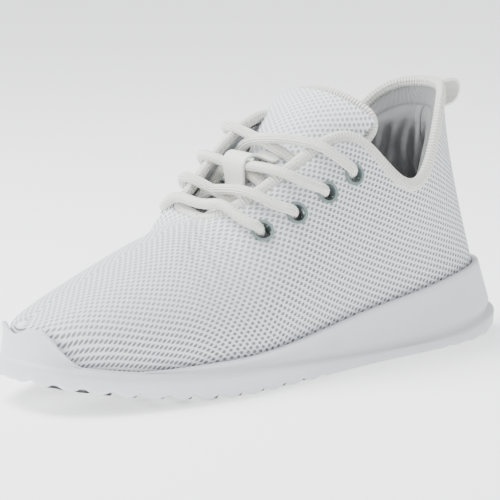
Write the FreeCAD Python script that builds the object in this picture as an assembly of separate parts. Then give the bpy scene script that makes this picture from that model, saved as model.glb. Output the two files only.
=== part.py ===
import FreeCAD, Part
import math
import os

# Left running shoe: one-piece mesh upper on a cupped foam sole, four pairs of eyelets.
# Frame: toe at -Y, heel at +Y, lateral side at +X, floor at Z = 0, millimetres.
# "a" is the distance back from the toe tip of the sole; y = a - LENGTH / 2.
LENGTH = 274.0

# ---- driving dimensions ----
# Sole outline at its widest: distance back and half width, stations 0 (toe) to 14 (heel).
OUTLINE = {
    1: ([0, 0.5, 7, 24, 50, 78, 105, 135, 165, 195, 225, 250, 267, 273.5, 274],
        [0, 13, 26, 37.5, 45, 49.3, 49, 44, 39, 37, 36, 31.5, 21.5, 10, 0]),
    -1: ([0, 0.5, 9.5, 26, 48, 72, 98, 128, 158, 190, 222, 249, 267, 273.5, 274],
         [0, 11, 20.5, 31, 40.5, 47, 46, 38.5, 33, 33.5, 35, 31.5, 21.5, 10, 0]),
}
STATIONS = 14
# Heights above the floor against "a", every 34.25 mm from toe to heel.
RIM_Z = [32, 19.8, 15.8, 16.6, 20.6, 25.2, 28.8, 34.5, 37]
FLOOR_Z = [21, 14, 10.2, 10.5, 13, 17, 20.5, 22, 22.5]
GROOVE_Z = [21, 14.5, 11.4, 10.8, 7.8, 5.4, 5.2, 6.4, 12.5]
TOE_SPRING = 12.5
TOE_SPRING_LENGTH = 88.0
HEEL_BEVEL = 5.0
HEEL_BEVEL_START = 240.0
PAD_THICK = 1.2           # rubber pads under the foam
PAD_RADIUS = 3.8
RIM_INSET = [3, 3, 2.6, 2.4, 2.4, 2.4, 2.4, 2.4, 2.6, 3, 4, 6, 8.6, 10, 10.4]
RIM_WALL = 2.8
BAND_STEP = 1.7           # lower band of the sidewall stands proud of the groove
FIT = 0.2                 # glue gap between layers
CUP_FIT = 0.7             # between the cup's wall and the mesh
GLUE = 0.03               # between a level pad and the midsole

# Top line of the upper.  Ridge of the vamp, stations 0 to 5.5 in half steps.
THROAT = 5.5
RIDGE_START, RIDGE_END = 14.0, 99.0
RIDGE_Z = [37, 37.5, 38.8, 40.6, 43, 46, 49, 52.6, 56.5, 61, 65.5, 69]
# Throat, collar and heel top, stations 5.5 to 14 in half steps: half width, a, z.
EDGE_X = [0, 11, 17.5, 21.5, 23.5, 25, 30, 34, 34, 30, 26, 22.6, 19.2, 15.6, 12, 8.2, 4.2, 0]
EDGE_A = [99, 101.5, 112, 127, 145, 163, 177, 190, 206, 216.5, 222.5, 227, 231, 234.4, 237.2,
          239.2, 240.4, 240.8]
EDGE_Z = [69, 69.5, 74, 82.5, 93, 102.5, 95, 77, 76, 96, 106, 111.8, 115, 117, 118, 118.4,
          118.6, 118.6]
# The medial throat edge stands higher and wider than the lateral one, by these amounts.
MEDIAL_RISE = [0, 0.5, 4, 7, 8, 5.5, 2, 0.5, 0, 0, 0, 0, 0, 0, 0, 0, 0, 0]
MEDIAL_WIDE = [0, 13, 5, 5, 5.6, 4.5, 2.1, 0.3, 0, 0, 0, 0, 0, 0, 0, 0, 0, 0]
# Rib shape at each station: lengths of the lower and upper handles, lean of the lower one.
LOWER_HANDLE = {1: [5.5, 7, 11, 16, 21, 25, 27, 29, 27, 17, 21, 25, 27, 27, 27],
                -1: [5.5, 7, 8, 11, 14, 19, 26, 29, 27, 17, 21, 25, 27, 27, 27]}
UPPER_HANDLE = {1: [5.5, 8, 14, 20, 25, 28, 25, 24, 22, 15, 19, 25, 28, 28, 28],
                -1: [5.5, 8, 12, 17, 22, 27, 25, 24, 22, 15, 19, 25, 28, 28, 28]}
LEAN = [0.05, 0.08, 0.12, 0.14, 0.14, 0.12, 0.1, 0.1, 0.08, 0.03, -0.05, -0.18, -0.28, -0.3, -0.3]
RIDGE_TURN = [90, 62, 30, 8, 8, 30, 50]          # degrees forward of sideways, every station
# Direction in which the quarter leaves its top edge, stations 5.5 to 14 in half steps.
LEAVE_X = [0.64, 0.62, 0.7, 0.68, 0.62, 0.5, 0.3, 0.08, 0.05, 0.05, 0.05, 0.05, 0.05, 0.04, 0.03,
           0.02, 0.01, 0]
LEAVE_A = [-0.72, -0.5, -0.2, -0.05, 0, 0, 0, 0, 0, 0, 0.02, 0.03, 0.04, 0.05, 0.05, 0.05, 0.05,
           0.05]
LEAVE_Z = [-0.27, -0.5, -0.7, -0.75, -0.8, -0.86, -0.95, -1, -1, -1, -1, -1, -1, -1, -1, -1, -1,
           -1]

# Layers, as depths below the outer face of the mesh.
MESH = (0.0, 1.8)
STIFFENER = (2.0, 2.8)
LINING = (3.0, 3.6)
PADDED_LINING = 0.8       # thickness of the satin
COLLAR_PUFF = 4.4         # how far the foam pushes the satin in
EDGE_RADIUS = 2.4         # knitted binding
EDGE_GAP = 0.4
EDGE_DEPTH = 1.6
WASHER = (4.5, 5.0)

# Eyelets and lace.
EYELET_STATION = {1: [6.59, 7.09, 7.57, 8.05], -1: [6.5, 6.98, 7.4, 7.9]}
EYELET_V = [0.8, 0.785, 0.775, 0.8]
ROWS = 4
EYELET_BORE = 3.75
EYELET_BARREL = 4.0
EYELET_FLANGE = 4.95
FLANGE_THICK = 0.8
LACE_RADIUS = 2.25
AGLET_LENGTH = 20.0
AGLET_RADIUS = 1.9

# Tongue: centre line, arch radius, half width and tilt along its length.
TONGUE_A = [88, 99, 115, 131, 147, 162, 175.5]
TONGUE_Z = [58.5, 61, 69.8, 82, 94.5, 107.5, 119]
TONGUE_R = [40, 31, 23.5, 21, 21, 23, 34]
TONGUE_HALF = [12, 13.5, 17, 23, 25.8, 24.6, 23.6]
TONGUE_TILT = [0, 0, 0, 3, 7, 12, 16]             # degrees, medial side up
TONGUE_MESH = (0.0, 1.8)
TONGUE_FOAM = (2.0, 4.4)
TONGUE_LINING = (4.6, 5.2)
TONGUE_EDGE = 2.3
TONGUE_LENGTH = 106.0

# Lace keeper: a flat tape arched over the second crossing.
KEEPER_PLACE = 0.525     # along the tongue, root 0 to top 1
KEEPER_SPAN = 24.0
KEEPER_HEIGHT = 12.8
KEEPER_WIDTH = 13.0
KEEPER_THICK = 1.0

# Heel pull loop.
LOOP_WIDTH = 15.0
LOOP_THICK = 1.1

# Sockliner.
SOCK_CLEAR = 2.6
SOCK_FOAM = (2.2, 5.6)
SOCK_COVER = (5.8, 6.6)
STROBEL = (0.2, 1.7)


# ---- curves ----
def blend(values, t, start="even", end="even"):
    """Uniform cubic B-spline of the values; t counts stations from the first value."""
    n = len(values)

    def at(i):
        if i < 0:
            return {"even": values[1], "odd": -values[1], "free": 2 * values[0] - values[1]}[start]
        if i >= n:
            return {"even": values[-2], "odd": -values[-2], "free": 2 * values[-1] - values[-2]}[end]
        return values[i]

    k = max(0, min(int(t), n - 2))
    f = t - k
    return ((1 - f) ** 3 * at(k - 1) + (3 * f ** 3 - 6 * f * f + 4) * at(k)
            + (-3 * f ** 3 + 3 * f * f + 3 * f + 1) * at(k + 1) + f ** 3 * at(k + 2)) / 6


def along(values, a):
    """A height against the distance back from the toe."""
    return blend(values, a / LENGTH * (len(values) - 1), "free", "free")


def bottom_z(a):
    toe = TOE_SPRING * max(0.0, (TOE_SPRING_LENGTH - a) / TOE_SPRING_LENGTH) ** 1.5
    heel = HEEL_BEVEL * max(0.0, (a - HEEL_BEVEL_START) / (LENGTH - HEEL_BEVEL_START)) ** 2
    return toe + heel


def vec(x, a, z):
    return FreeCAD.Vector(x, a - LENGTH / 2, z)


def outline(side, p):
    a_values, x_values = OUTLINE[side]
    return side * blend(x_values, p, "odd", "odd"), blend(a_values, p, "even", "even")


def outward(side, p):
    """Unit normal of the outline, in plan."""
    step = 0.02
    x0, a0 = outline(side, max(0.0, p - step))
    x1, a1 = outline(side, min(float(STATIONS), p + step))
    if p - step < 0 or p + step > STATIONS:
        return (0.0, -1.0) if p < 1 else (0.0, 1.0)
    dx, da = x1 - x0, a1 - a0
    size = math.hypot(dx, da)
    return side * da / size, -side * dx / size


def inset_point(side, p, inset):
    x, a = outline(side, p)
    nx, na = outward(side, p)
    return x - nx * inset, a - na * inset


# ---- the upper's outer face ----
def top_edge(side, p):
    """Ridge of the vamp, then the edge of throat and collar."""
    if p < THROAT:
        a = RIDGE_START + (RIDGE_END - RIDGE_START) * (p / THROAT) ** 2
        return vec(0, a, blend(RIDGE_Z, 2 * p, "even", "free"))
    t = 2 * (p - THROAT)
    rise = blend(MEDIAL_RISE, t, "free", "even") if side < 0 else 0.0
    wide = blend(MEDIAL_WIDE, t, "free", "odd") if side < 0 else 0.0
    x = blend(EDGE_X, t, "free", "odd") + wide
    return vec(side * x, blend(EDGE_A, t, "free", "even"), blend(EDGE_Z, t, "free", "even") + rise)


def leaving(side, p):
    """Direction in which a rib leaves the top edge, towards the sole."""
    if p < THROAT:
        ahead = top_edge(side, min(THROAT - 0.001, p + 0.05))
        tangent = ahead - top_edge(side, max(0.0, p - 0.05))
        tangent.normalize()
        turn = math.radians(blend(RIDGE_TURN, p, "free", "free"))
        return FreeCAD.Vector(side * math.cos(turn), 0, 0) - tangent * math.sin(turn)
    t = 2 * (p - THROAT)
    d = FreeCAD.Vector(side * blend(LEAVE_X, t, "free", "odd"), blend(LEAVE_A, t, "free", "even"),
                       blend(LEAVE_Z, t, "free", "even"))
    return d.normalize()


def upper_inset(p):
    return blend(RIM_INSET, p) + RIM_WALL + CUP_FIT


def upper_face(side, p, v):
    """Outer face of the upper, averaged over nearby ribs where the throat meets the ridge."""
    reach = (0.9 * max(0.0, 1 - abs(p - THROAT) / 1.8) * min(1.0, (1 - v) / 0.3)
             * max(0.0, min(1.0, (v - 0.1) / 0.2)))
    if reach < 1e-6:
        return rib(side, p, v)
    total = FreeCAD.Vector(0, 0, 0)
    for shift, weight in ((-1, 1), (-0.5, 3), (0, 4), (0.5, 3), (1, 1)):
        total += rib(side, p + shift * reach, v) * (weight / 12)
    return total


def rib(side, p, v):
    """Rib of the upper: v = 0 at the cup's floor, 0.1 at the rim, 1 at the top edge."""
    x, a = inset_point(side, p, upper_inset(p))
    low = along(FLOOR_Z, a) + FIT
    rim = along(RIM_Z, a) + 0.3
    if v <= 0.1:
        return vec(x, a, low + (rim - low) * v / 0.1)
    t = (v - 0.1) / 0.9
    nx, na = outward(side, p)
    lean = blend(LEAN, p)
    start = vec(x, a, rim)
    low_handle = start + FreeCAD.Vector(nx * lean, na * lean, 1) * blend(LOWER_HANDLE[side], p)
    end = top_edge(side, p)
    high_handle = end + leaving(side, p) * blend(UPPER_HANDLE[side], p)
    s = 1 - t
    return start * s ** 3 + low_handle * 3 * s * s * t + high_handle * 3 * s * t * t + end * t ** 3


def upper_normal(side, p, v):
    if v > 1 - 1e-6 and p < THROAT + 1e-6:
        ridge = top_edge(side, min(THROAT, p + 0.05)) - top_edge(side, max(0.0, p - 0.05))
        return FreeCAD.Vector(0, -ridge.z, ridge.y).normalize()
    dp, dv = 0.02, 0.01
    high = p if abs(p - THROAT) < 1e-6 else min(float(STATIONS), p + dp)
    along_p = upper_face(side, high, v) - upper_face(side, max(0.0, p - dp), v)
    along_v = upper_face(side, p, min(1.0, v + dv)) - upper_face(side, p, max(0.0, v - dv))
    n = along_p.cross(along_v) * side
    if p < 1e-6 or p > STATIONS - 1e-6:
        n.x = 0
    return n.normalize()


def layer(side, p, v, depth):
    return upper_face(side, p, v) - upper_normal(side, p, v) * depth


# ---- surfaces and solids ----
def curve(points, closed=False):
    c = Part.BSplineCurve()
    n = len(points)
    if closed:
        c.interpolate(Points=points, PeriodicFlag=True, Parameters=[i / n for i in range(n + 1)])
    else:
        c.interpolate(Points=points, Parameters=[i / (n - 1) for i in range(n)])
    return c


def surface(rows, closed_u=False, closed_v=False):
    lines = [curve(row, closed_v) for row in rows]
    nets = [line.getPoles() for line in lines]
    columns = [curve([net[j] for net in nets], closed_u) for j in range(len(nets[0]))]
    poles = [list(row) for row in zip(*[column.getPoles() for column in columns])]
    s = Part.BSplineSurface()
    s.buildFromPolesMultsKnots(poles, columns[0].getMultiplicities(), lines[0].getMultiplicities(),
                               columns[0].getKnots(), lines[0].getKnots(), closed_u, closed_v, 3, 3)
    return s.toShape()


def strip(one, two, closed=False):
    """Ruled face between two rows of points."""
    first, second = curve(one, closed), curve(two, closed)
    s = Part.BSplineSurface()
    s.buildFromPolesMultsKnots([[p, q] for p, q in zip(first.getPoles(), second.getPoles())],
                               first.getMultiplicities(), [2, 2], first.getKnots(), [0.0, 1.0],
                               closed, False, 3, 1)
    return s.toShape()


def close(faces):
    shell = Part.makeShell(faces)
    shell.sewShape()
    solid = Part.Solid(shell.Shells[0] if shell.Shells else shell)
    if solid.Volume < 0:
        solid.reverse()
    return solid


def sheet(outer, inner):
    """Closed solid between two grids of points, with ruled edges."""
    faces = [surface(outer), surface(inner), strip(outer[0], inner[0]), strip(outer[-1], inner[-1]),
             strip([row[0] for row in outer], [row[0] for row in inner]),
             strip([row[-1] for row in outer], [row[-1] for row in inner])]
    return close(faces)


def tube(rings):
    """Closed ring-shaped solid through closed sections."""
    return Part.Solid(Part.Shell([surface(rings, True, True)]))


def rod(rings):
    """Solid through closed sections, with a flat face at each end."""
    ends = [Part.Face(Part.Wire(curve(ring, True).toShape())) for ring in (rings[0], rings[-1])]
    return close([surface(rings, False, True)] + ends)


def steps(first, last, count):
    return [first + (last - first) * i / count for i in range(count + 1)]


def ring_wire(inset, height):
    """Closed outline; inset and height are functions of station and distance back."""
    points = []
    for side, stations in ((1, steps(0, STATIONS, 56)[:-1]), (-1, steps(STATIONS, 0, 56)[:-1])):
        for p in stations:
            x, a = inset_point(side, p, inset(p))
            points.append(vec(x, a, height(a)))
    return points


def wall_solid(rings):
    """Solid inside a stack of rings; the first and the last ring are flat."""
    faces = [strip(low, high, True) for low, high in zip(rings, rings[1:])]
    for ring in (rings[0], rings[-1]):
        faces.append(Part.Face(Part.Wire(curve(ring, True).toShape())))
    return close(faces)


def profile_slab(low, high):
    """Space across the whole width between two side profiles."""
    a_values = steps(-6, LENGTH + 6, 48)
    half = 80.0
    curves = [[FreeCAD.Vector(-half, a - LENGTH / 2, f(a)) for a in a_values] for f in (low, high)]
    edges = [curve(points).toShape() for points in curves]
    ends = [Part.makeLine(curves[0][i], curves[1][i]) for i in (0, -1)]
    face = Part.Face(Part.Wire([edges[0], ends[1], edges[1], ends[0]]))
    return face.extrude(FreeCAD.Vector(2 * half, 0, 0))


def solid_from(name, shape):
    shape.exportStep("parts/" + name + ".step")
    solids = shape.Solids
    print("%-22s solids %2d  volume %9.1f  valid %s" %
          (name, len(solids), shape.Volume, all(s.isValid() for s in solids)), flush=True)


# ---- sole ----
def rim_inset(p):
    return blend(RIM_INSET, p)


def make_midsole():
    flat = 75.0
    rings = [
        ring_wire(lambda p: 6.0, lambda a: -4.0),
        ring_wire(lambda p: 1.2, lambda a: bottom_z(a) + 2.6),
        ring_wire(lambda p: 0.0, lambda a: along(GROOVE_Z, a) - 1.0),
        ring_wire(lambda p: 0.2, lambda a: along(GROOVE_Z, a) - 0.1),
        ring_wire(lambda p: BAND_STEP, lambda a: along(GROOVE_Z, a) + 0.5),
        ring_wire(rim_inset, lambda a: along(RIM_Z, a) + 1.5),
        ring_wire(rim_inset, lambda a: flat),
    ]
    body = wall_solid(rings)
    body = body.common(profile_slab(lambda a: bottom_z(a) + PAD_THICK, lambda a: along(RIM_Z, a)))
    cup = wall_solid([ring_wire(lambda p: rim_inset(p) + RIM_WALL, lambda a: -4.0),
                      ring_wire(lambda p: rim_inset(p) + RIM_WALL, lambda a: flat)])
    cup = cup.common(profile_slab(lambda a: along(FLOOR_Z, a), lambda a: flat + 5))
    return body.cut(cup)


def insole_layer(depths, inset):
    block = wall_solid([ring_wire(inset, lambda a: -4.0), ring_wire(inset, lambda a: 75.0)])
    return block.common(profile_slab(lambda a: along(FLOOR_Z, a) + depths[0],
                                     lambda a: along(FLOOR_Z, a) + depths[1]))


def hexagon_post(x, a, low, height):
    corners = [vec(x + PAD_RADIUS * math.cos(math.pi * k / 3 + 0.2),
                   a + PAD_RADIUS * math.sin(math.pi * k / 3 + 0.2), low) for k in range(7)]
    return Part.Face(Part.makePolygon(corners)).extrude(FreeCAD.Vector(0, 0, height))


def make_pads(rows):
    """Six-sided rubber pads; each row is inset, first and last station, and spaces."""
    slab = profile_slab(bottom_z, lambda a: bottom_z(a) + PAD_THICK)
    pads = []
    for side in (1, -1):
        for inset, first, last, count in rows:
            for p in steps(first, last, count):
                x, a = inset_point(side, p, inset)
                if bottom_z(a - PAD_RADIUS) + bottom_z(a + PAD_RADIUS) == 0:
                    pads.append(hexagon_post(x, a, 0, PAD_THICK - GLUE))
                else:
                    pads.append(slab.common(hexagon_post(x, a, -5, 40)))
    return Part.makeCompound(pads)


# ---- upper ----
def patch(side, p_first, p_last, v_first, v_last, depth, p_step=0.25, v_count=9):
    """Grid of points at a depth; depth is a number or a function of station and v."""
    p_count = max(3, round((p_last - p_first) / p_step))
    grid = []
    for p in steps(p_first, p_last, p_count):
        row = []
        for v in steps(v_first, v_last, v_count):
            d = depth(p, v) if callable(depth) else depth
            row.append(layer(side, p, v, d))
        grid.append(row)
    return grid


def both_sides(p_first, v_first, v_last, depth, **more):
    """Grid that runs from the lateral side round the heel to the medial side."""
    lateral = patch(1, p_first, STATIONS, v_first, v_last, depth, **more)
    medial = patch(-1, p_first, STATIONS, v_first, v_last, depth, **more)
    return lateral + medial[-2::-1]


def front_and_back(depths, v_last_quarter=1.0, p_last=STATIONS, v_first=0.0, v_count=10):
    """Shell of the whole upper: vamp and quarter on each side, joined at ridge and ribs."""
    faces = []
    for side in (1, -1):
        vamp = [patch(side, 0, THROAT, v_first, 1, d, v_count=v_count) for d in depths]
        quarter = [patch(side, THROAT, p_last, v_first, 1, d, v_count=v_count) for d in depths]
        for pair in (vamp, quarter):
            faces += [surface(pair[0]), surface(pair[1])]
            faces.append(strip([row[0] for row in pair[0]], [row[0] for row in pair[1]]))
        faces.append(strip([row[-1] for row in quarter[0]], [row[-1] for row in quarter[1]]))
        if p_last < STATIONS:
            faces.append(strip(quarter[0][-1], quarter[1][-1]))
    return close(faces)


def eyelet_frame(side, k):
    p, v = EYELET_STATION[side][k], EYELET_V[k]
    return upper_face(side, p, v), upper_normal(side, p, v)


def eyelet_holes(radius, sides=(1, -1)):
    holes = []
    for side in sides:
        for k in range(ROWS):
            centre, n = eyelet_frame(side, k)
            holes.append(Part.makeCylinder(radius, 16, centre - n * 9, n))
    return Part.makeCompound(holes)


def make_eyelets(side):
    parts = []
    for k in range(ROWS):
        centre, n = eyelet_frame(side, k)
        barrel = Part.makeCylinder(EYELET_BARREL, WASHER[1] + 0.65, centre - n * WASHER[1], n)
        flange = Part.makeCylinder(EYELET_FLANGE, FLANGE_THICK, centre + n * 0.35, n)
        bore = Part.makeCylinder(EYELET_BORE, 16, centre - n * 8, n)
        parts.append(barrel.fuse(flange).cut(bore))
    return Part.makeCompound(parts)


def make_washers(side):
    parts = []
    for k in range(ROWS):
        centre, n = eyelet_frame(side, k)
        thick = WASHER[1] - WASHER[0]
        disc = Part.makeCylinder(EYELET_FLANGE, thick, centre - n * WASHER[1], n)
        parts.append(disc.cut(Part.makeCylinder(EYELET_BARREL + 0.1, 16, centre - n * 8, n)))
    return Part.makeCompound(parts)


def edge_frame(side, p):
    """Point on the top edge with its tangent, and the direction out of the sheet."""
    step = 0.04
    low, high = max(THROAT, p - step), min(float(STATIONS), p + step)
    tangent = top_edge(side, high) - top_edge(side, low)
    if p < THROAT + 1e-6 or p > STATIONS - 1e-6:
        tangent = FreeCAD.Vector(side, 0, 0) if p < THROAT + 1 else FreeCAD.Vector(-side, 0, 0)
    tangent.normalize()
    out = leaving(side, p) * -1
    out = out - tangent * out.dot(tangent)
    if p > STATIONS - 1e-6 or p < THROAT + 1e-6:
        out.x = 0
    return top_edge(side, p), tangent, out.normalize()


def make_binding():
    """Knitted binding round the throat and the collar, standing on the mesh's edge."""
    rings = []
    stations = steps(THROAT, STATIONS, 60)
    path = [(1, p) for p in stations] + [(-1, p) for p in stations[-2:0:-1]]
    for side, p in path:
        centre, tangent, out = edge_frame(side, p)
        across = tangent.cross(out)
        if side < 0:
            across = across * -1
        middle = centre + out * (EDGE_RADIUS + EDGE_GAP) - upper_normal(side, p, 1) * EDGE_DEPTH
        ring = []
        for k in range(10):
            turn = 2 * math.pi * k / 10
            ring.append(middle + across * (EDGE_RADIUS * math.cos(turn))
                        + out * (EDGE_RADIUS * math.sin(turn)))
        rings.append(ring)
    return tube(rings)


def make_vamp_lining():
    """Thin tricot behind the mesh, from the toe to where the padded collar begins."""
    return front_and_back(LINING, p_last=COLLAR_START - 0.1, v_first=0.12)


# ---- collar ----
COLLAR_START = 8.45       # station where the padded collar begins


def puff(p, v):
    """How far the collar foam pushes the satin lining in."""
    rise = max(0.0, min(1.0, (v - 0.36) / 0.3))
    fall = max(0.0, min(1.0, (0.985 - v) / 0.16))
    ends = max(0.0, min(1.0, (p - COLLAR_START) / 0.5))
    smooth = [s * s * (3 - 2 * s) for s in (rise, fall, ends)]
    return COLLAR_PUFF * smooth[0] * smooth[1] * smooth[2]


def make_collar_lining():
    outer = both_sides(COLLAR_START, 0.16, 0.985, lambda p, v: 4.0 + puff(p, v), v_count=12)
    inner = both_sides(COLLAR_START, 0.16, 0.985,
                       lambda p, v: 4.0 + PADDED_LINING + puff(p, v), v_count=12)
    return sheet(outer, inner)


def make_collar_foam():
    outer = both_sides(COLLAR_START + 0.3, 0.46, 0.93, 3.55)
    inner = both_sides(COLLAR_START + 0.3, 0.46, 0.93, lambda p, v: 3.75 + puff(p, v))
    return sheet(outer, inner)


def make_heel_counter():
    return sheet(both_sides(9.3, 0.13, 0.62, 2.0), both_sides(9.3, 0.13, 0.62, 3.2))


def make_heel_seam_tape():
    """Tape over the back seam of the satin."""
    grids = []
    for depth in (5.0, 5.5):
        rows = []
        for offset in (-0.5, -0.25, 0, 0.25, 0.5):
            side = 1 if offset <= 0 else -1
            p = STATIONS - abs(offset)
            rows.append([layer(side, p, v, depth + puff(p, v)) for v in steps(0.3, 0.93, 12)])
        grids.append(rows)
    return sheet(*grids)


def make_toe_puff():
    faces = []
    for side in (1, -1):
        pair = [patch(side, 0, 2.6, 0.13, 1, d, v_count=8) for d in STIFFENER]
        faces += [surface(pair[0]), surface(pair[1])]
        faces.append(strip([row[0] for row in pair[0]], [row[0] for row in pair[1]]))
        faces.append(strip(pair[0][-1], pair[1][-1]))
    return close(faces)


def make_eyestay(side):
    grids = [patch(side, 6.1, 8.3, 0.66, 0.955, d, v_count=4) for d in STIFFENER]
    return sheet(*grids).cut(eyelet_holes(EYELET_BARREL + 0.15, (side,)))


def make_pull_loop():
    """Tape sewn at the heel's top and lower down its back, standing out as a loop."""
    top = top_edge(1, STATIONS) + FreeCAD.Vector(0, 1.6, 2 * EDGE_RADIUS + 0.9)
    foot = upper_face(1, STATIONS, 0.82)
    out = 0.9
    path = [top + FreeCAD.Vector(0, -2.5, -0.1), top + FreeCAD.Vector(0, 1.5, 0.2),
            top + FreeCAD.Vector(0, 6.5, 1.6), top + FreeCAD.Vector(0, 10.5, 0.2),
            top + FreeCAD.Vector(0, 11.6, -4.5), top + FreeCAD.Vector(0, 9.6, -9.5),
            FreeCAD.Vector(0, foot.y + out + 1.6, foot.z + 4.0),
            FreeCAD.Vector(0, foot.y + out + 0.6, foot.z)]
    grids = []
    for half in (-LOOP_THICK / 2, LOOP_THICK / 2):
        rows = []
        for i, point in enumerate(path):
            ahead = path[min(i + 1, len(path) - 1)] - path[max(i - 1, 0)]
            normal = FreeCAD.Vector(0, -ahead.z, ahead.y).normalize()
            rows.append([point + normal * half + FreeCAD.Vector(x, 0, 0)
                         for x in steps(-LOOP_WIDTH / 2, LOOP_WIDTH / 2, 3)])
        grids.append(rows)
    return sheet(*grids)


# ---- tongue ----
def tongue_axis(s):
    """Centre line point, tangent, and directions across and up; s runs from root 0 to top 1."""
    t = s * (len(TONGUE_A) - 1)

    def point(u):
        return vec(0, blend(TONGUE_A, u, "free", "free"), blend(TONGUE_Z, u, "free", "free"))

    tangent = (point(min(6.0, t + 0.02)) - point(max(0.0, t - 0.02))).normalize()
    level_up = FreeCAD.Vector(0, -tangent.z, tangent.y)
    right = FreeCAD.Vector(1, 0, 0)
    tilt = math.radians(blend(TONGUE_TILT, t, "free", "free"))
    across = right * math.cos(tilt) - level_up * math.sin(tilt)
    return point(t), tangent, across, level_up * math.cos(tilt) + right * math.sin(tilt)


def tongue_face(s, w, depth, trim=0.0):
    """Point of the arched tongue; w runs from -1 to 1 across it."""
    centre, _, across, up = tongue_axis(s)
    t = s * (len(TONGUE_A) - 1)
    radius = blend(TONGUE_R, t, "free", "free")
    turn = w * (blend(TONGUE_HALF, t, "free", "free") - trim) / radius
    reach = radius - depth
    return centre + across * (reach * math.sin(turn)) + up * (reach * math.cos(turn) - radius)


def tongue_layer(depths, s_first, s_last, trim):
    grids = [[[tongue_face(s, w, d, trim) for w in steps(-1, 1, 12)]
              for s in steps(s_first, s_last, 14)] for d in depths]
    return sheet(*grids)


def make_tongue_binding():
    """Knitted binding along both sides and the top of the tongue."""
    middle = 2.6
    path = [(s, -1) for s in steps(0.2, 0.955, 12)]
    path += [(1.0, w) for w in (-0.9, -0.6, -0.3, 0, 0.3, 0.6, 0.9)]
    path += [(s, 1) for s in steps(0.955, 0.2, 12)]
    points = [tongue_face(s, w, middle, -TONGUE_EDGE - 0.8 if abs(w) == 1 else 0.0) for s, w in path]
    top_tangent = tongue_axis(1.0)[1]
    lift = {i: 1 for i, (s, w) in enumerate(path) if s > 0.94}
    points = [q + top_tangent * (TONGUE_EDGE + 0.9) if i in lift else q for i, q in enumerate(points)]
    rings = []
    for i, q in enumerate(points):
        ahead = (points[min(i + 1, len(points) - 1)] - points[max(i - 1, 0)]).normalize()
        up = tongue_axis(path[i][0])[3]
        across = ahead.cross(up).normalize()
        up = across.cross(ahead)
        rings.append([q + across * (TONGUE_EDGE * math.cos(2 * math.pi * k / 8))
                      + up * (TONGUE_EDGE * math.sin(2 * math.pi * k / 8)) for k in range(8)])
    return rod(rings)


def make_keeper():
    """Flat tape arched over two lace strands, sewn down at both ends."""
    half = KEEPER_SPAN / 2
    shape = [(-half, 0.9), (-half + 4, 1.0), (-half + 6.5, 5), (-half + 9, KEEPER_HEIGHT - 1.2),
             (0, KEEPER_HEIGHT), (half - 9, KEEPER_HEIGHT - 1.2), (half - 6.5, 5), (half - 4, 1.0),
             (half, 0.9)]
    grids = []
    for thick in (0.0, KEEPER_THICK):
        rows = []
        for i, (u, h) in enumerate(shape):
            before, after = shape[max(i - 1, 0)], shape[min(i + 1, len(shape) - 1)]
            du, dh = after[0] - before[0], after[1] - before[1]
            size = math.hypot(du, dh)
            place = KEEPER_PLACE + (u - thick * dh / size) / TONGUE_LENGTH
            centre, _, right, up = tongue_axis(place)
            radius = blend(TONGUE_R, place * (len(TONGUE_A) - 1), "free", "free")
            row = []
            for x in steps(-KEEPER_WIDTH / 2, KEEPER_WIDTH / 2, 3):
                drop = (radius - math.sqrt(radius ** 2 - x * x)) * (1 - h / KEEPER_HEIGHT)
                row.append(centre + right * x + up * (h - drop + thick * du / size))
            rows.append(row)
        grids.append(rows)
    return sheet(*grids)


# ---- lace ----
# Crossings: place along the tongue, then heights of the lower and the upper strand above it.
CROSSING = [(0.375, 4.4, 9.1), (0.51, 5.1, 9.5), (0.65, 5.9, 10.4)]
BAR = (0.26, 9.5)
# Stations from an eyelet to where its strand comes out under, and goes in over, the binding.
UNDER_SHIFT = {1: [0.08, -0.1, -0.1], -1: [0.1, 0.0, 0.0]}
OVER_SHIFT = {1: [0.39, 0.44, 0.46, 0.4], -1: [0.5, 0.4, 0.44, 0.42]}


def over_tongue(place, height):
    centre, _, _, up = tongue_axis(place)
    return centre + up * height


def binding_centre(side, p):
    centre, _, out = edge_frame(side, p)
    n = upper_normal(side, p, 1)
    return centre + out * (EDGE_RADIUS + EDGE_GAP) - n * EDGE_DEPTH, n, out


def under_edge(side, row):
    middle, n, _ = binding_centre(side, EYELET_STATION[side][row] + UNDER_SHIFT[side][row])
    return middle - n * (EDGE_RADIUS + LACE_RADIUS + 0.7)


def over_edge(side, row):
    middle, n, out = binding_centre(side, EYELET_STATION[side][row] - OVER_SHIFT[side][row])
    return middle + n * 6.6 + out * (0.8 if side > 0 else 4.0)


def through(side, row):
    """Over the mesh beside an eyelet, then above it and below it."""
    centre, n = eyelet_frame(side, row)
    near, v = EYELET_STATION[side][row] - 0.5 * OVER_SHIFT[side][row], 0.45 * EYELET_V[row] + 0.53
    beside = upper_face(side, near, v) + upper_normal(side, near, v) * 3.8
    return [beside, centre + n * (4.2 if side > 0 else 5.0), centre - n * 7.6]


def strand(side, row, layer_number):
    """From below an eyelet, out under the throat's edge, over the tongue to the next row."""
    place, height = CROSSING[row][0], CROSSING[row][layer_number]
    return [under_edge(side, row), over_tongue(place, height), over_edge(-side, row + 1)]


def lace_end(side):
    """Free end, tucked down between the tongue and the quarter."""
    return [layer(side, 7.86, 0.70, 7.6), layer(side, 7.62, 0.585, 7.8), layer(side, 7.36, 0.49, 7.8),
            layer(side, 7.08, 0.405, 7.8)]


def lace_route():
    """Bar over the lowest row, then two strands that cross three times."""
    halves = []
    for side, layers in ((1, (1, 2, 1)), (-1, (2, 1, 2))):
        route = [over_edge(side, 0)] + through(side, 0)
        here = side
        for row, layer_number in enumerate(layers):
            route += strand(here, row, layer_number)
            here = -here
            route += through(here, row + 1)
        route += lace_end(here)
        halves.append(route)
    return halves[0][::-1] + [over_tongue(*BAR)] + halves[1]


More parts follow.
